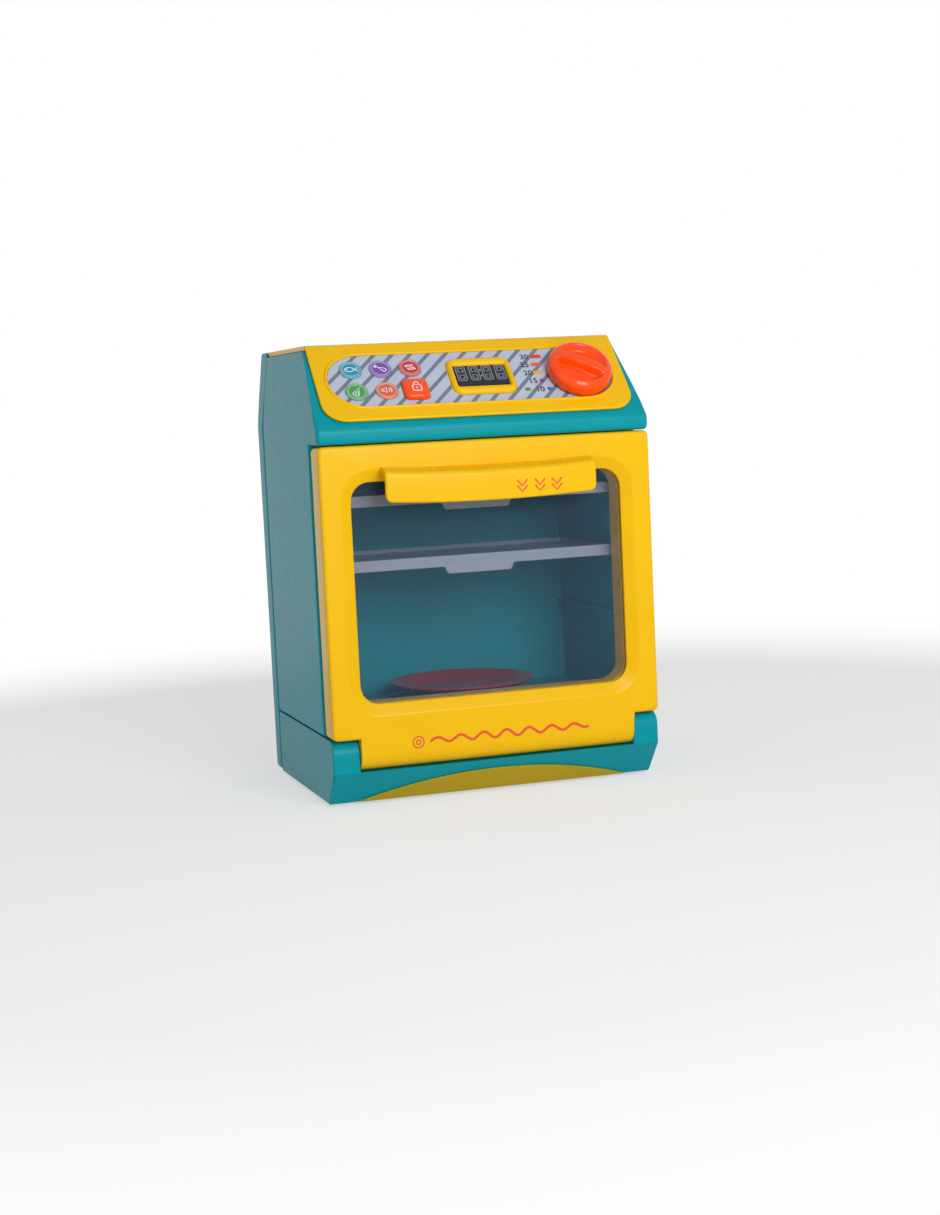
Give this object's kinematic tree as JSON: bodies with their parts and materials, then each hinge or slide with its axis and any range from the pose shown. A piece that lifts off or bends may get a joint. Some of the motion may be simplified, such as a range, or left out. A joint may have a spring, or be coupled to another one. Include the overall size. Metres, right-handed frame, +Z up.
{
  "type": "toy oven",
  "caption": "Pretend-play oven with a drop-down windowed door, pull-out trays, a driven turntable and a sloping panel with a knob, keys and a display.",
  "frame": {"origin": "middle of the footprint, on the surface that the feet stand on", "axes": "+Z up, -Y towards the door and the panel, +X to the right seen from the front"},
  "size_m": [0.19, 0.162, 0.252],
  "materials": {
    "teal_plastic": "moulded teal ABS, satin gloss",
    "yellow_plastic": "moulded yellow ABS, satin gloss",
    "orange_plastic": "moulded orange-red ABS, glossy",
    "tray_plastic": "translucent bluish white polypropylene",
    "smoke_window": "clear polystyrene with a smoke tint",
    "dark_red_plastic": "moulded dark red, glossy",
    "screen_plastic": "dark tinted screen with printed digits",
    "label_sheet": "printed film, pale blue-white with grey stripes",
    "circuit_board": "solder mask green",
    "bright_metal": "zinc plated",
    "black_plastic": "moulded black, matt",
    "white_plastic": "natural white acetal, matt",
    "foot_rubber": "matt rubber",
    "cell_sleeve": "plain printed sleeve over steel",
    "key_blue_plastic": "blue key with a pale pictogram",
    "key_purple_plastic": "purple key with a pale pictogram",
    "key_red_plastic": "red key with a pale pictogram",
    "key_green_plastic": "green key with a pale pictogram",
    "key_amber_plastic": "amber key with a pale pictogram"
  },
  "bodies": {
    "casing": {"outer_housing": "teal_plastic", "rear_cover": "teal_plastic", "base_tray": "teal_plastic", "base_arc_trim": "yellow_plastic", "cavity_liner": "teal_plastic", "cover_screw_low_left": "bright_metal", "cover_screw_high_left": "bright_metal", "cover_screw_low_right": "bright_metal", "cover_screw_high_right": "bright_metal", "foot_front_left": "foot_rubber", "foot_front_right": "foot_rubber", "foot_back_left": "foot_rubber", "foot_back_right": "foot_rubber", "hinge_pin_left": "bright_metal", "hinge_pin_right": "bright_metal", "spindle_post": "white_plastic", "gear_motor_case": "white_plastic", "motor_can": "bright_metal", "lamp_lens": "white_plastic", "lamp_board": "circuit_board", "lamp_diode": "white_plastic", "control_fascia": "yellow_plastic", "label_plate": "label_sheet", "display_lens": "screen_plastic", "display_module": "black_plastic", "control_board": "circuit_board", "rotary_switch": "black_plastic", "key_switch_power": "black_plastic", "battery_box": "black_plastic", "battery_cell_1": "cell_sleeve", "battery_cell_2": "cell_sleeve", "battery_cell_3": "cell_sleeve", "contact_strip_left": "bright_metal", "contact_strip_right": "bright_metal", "speaker": "black_plastic", "key_switch_blue": "black_plastic", "key_switch_purple": "black_plastic", "key_switch_red": "black_plastic", "key_switch_green": "black_plastic", "key_switch_amber": "black_plastic"},
    "door": {"door_outer_frame": "yellow_plastic", "door_window": "smoke_window", "door_inner_frame": "yellow_plastic"},
    "lower_tray_body": {"lower_tray": "tray_plastic"},
    "upper_tray_body": {"upper_tray": "tray_plastic"},
    "turntable": {"turntable_plate": "dark_red_plastic", "turntable_gear": "white_plastic"},
    "pinion": {"drive_pinion": "white_plastic"},
    "knob": {"timer_knob": "orange_plastic"},
    "power_key": {"power_button": "orange_plastic"},
    "hatch": {"battery_hatch": "teal_plastic", "hatch_screw": "bright_metal"},
    "key_blue_body": {"key_blue": "key_blue_plastic"},
    "key_purple_body": {"key_purple": "key_purple_plastic"},
    "key_red_body": {"key_red": "key_red_plastic"},
    "key_green_body": {"key_green": "key_green_plastic"},
    "key_amber_body": {"key_amber": "key_amber_plastic"}
  },
  "joints": [
    {"name": "door_hinge", "type": "hinge", "parent": "casing", "child": "door", "pos_m": [0, -0.059, 0.0306], "axis": [1, 0, 0], "range_deg": [0, 90]},
    {"name": "lower_tray_slide", "type": "slide", "parent": "casing", "child": "lower_tray_body", "axis": [0, -1, 0], "range_m": [0, 0.06]},
    {"name": "upper_tray_slide", "type": "slide", "parent": "casing", "child": "upper_tray_body", "axis": [0, -1, 0], "range_m": [0, 0.06]},
    {"name": "turntable_spin", "type": "hinge", "parent": "casing", "child": "turntable", "pos_m": [0, -0.0013, 0.033], "axis": [0, 0, 1], "continuous": true},
    {"name": "pinion_spin", "type": "hinge", "parent": "casing", "child": "pinion", "pos_m": [0.025, -0.0013, 0.033], "axis": [0, 0, 1], "continuous": true},
    {"name": "knob_turn", "type": "hinge", "parent": "casing", "child": "knob", "pos_m": [0.0618, -0.04902, 0.22996], "axis": [0, -0.7237, 0.6901], "range_deg": [-8, 52]},
    {"name": "power_press", "type": "slide", "parent": "casing", "child": "power_key", "axis": [0, 0.7237, -0.6901], "range_m": [0, 0.002], "stiffness_N_per_m": 300},
    {"name": "hatch_lift_off", "type": "slide", "parent": "casing", "child": "hatch", "axis": [0, 1, 0], "range_m": [0, 0.03]},
    {"name": "key_blue_press", "type": "slide", "parent": "casing", "child": "key_blue_body", "axis": [0, 0.7237, -0.6901], "range_m": [0, 0.0008], "stiffness_N_per_m": 300},
    {"name": "key_purple_press", "type": "slide", "parent": "casing", "child": "key_purple_body", "axis": [0, 0.7237, -0.6901], "range_m": [0, 0.0008], "stiffness_N_per_m": 300},
    {"name": "key_red_press", "type": "slide", "parent": "casing", "child": "key_red_body", "axis": [0, 0.7237, -0.6901], "range_m": [0, 0.0008], "stiffness_N_per_m": 300},
    {"name": "key_green_press", "type": "slide", "parent": "casing", "child": "key_green_body", "axis": [0, 0.7237, -0.6901], "range_m": [0, 0.0008], "stiffness_N_per_m": 300},
    {"name": "key_amber_press", "type": "slide", "parent": "casing", "child": "key_amber_body", "axis": [0, 0.7237, -0.6901], "range_m": [0, 0.0008], "stiffness_N_per_m": 300}
  ],
  "couplings": [
    {"joint": "lower_tray_slide", "follows": "door_hinge", "m_per_rad": 0.038},
    {"joint": "upper_tray_slide", "follows": "door_hinge", "m_per_rad": 0.038},
    {"joint": "pinion_spin", "follows": "turntable_spin", "ratio": -4}
  ]
}
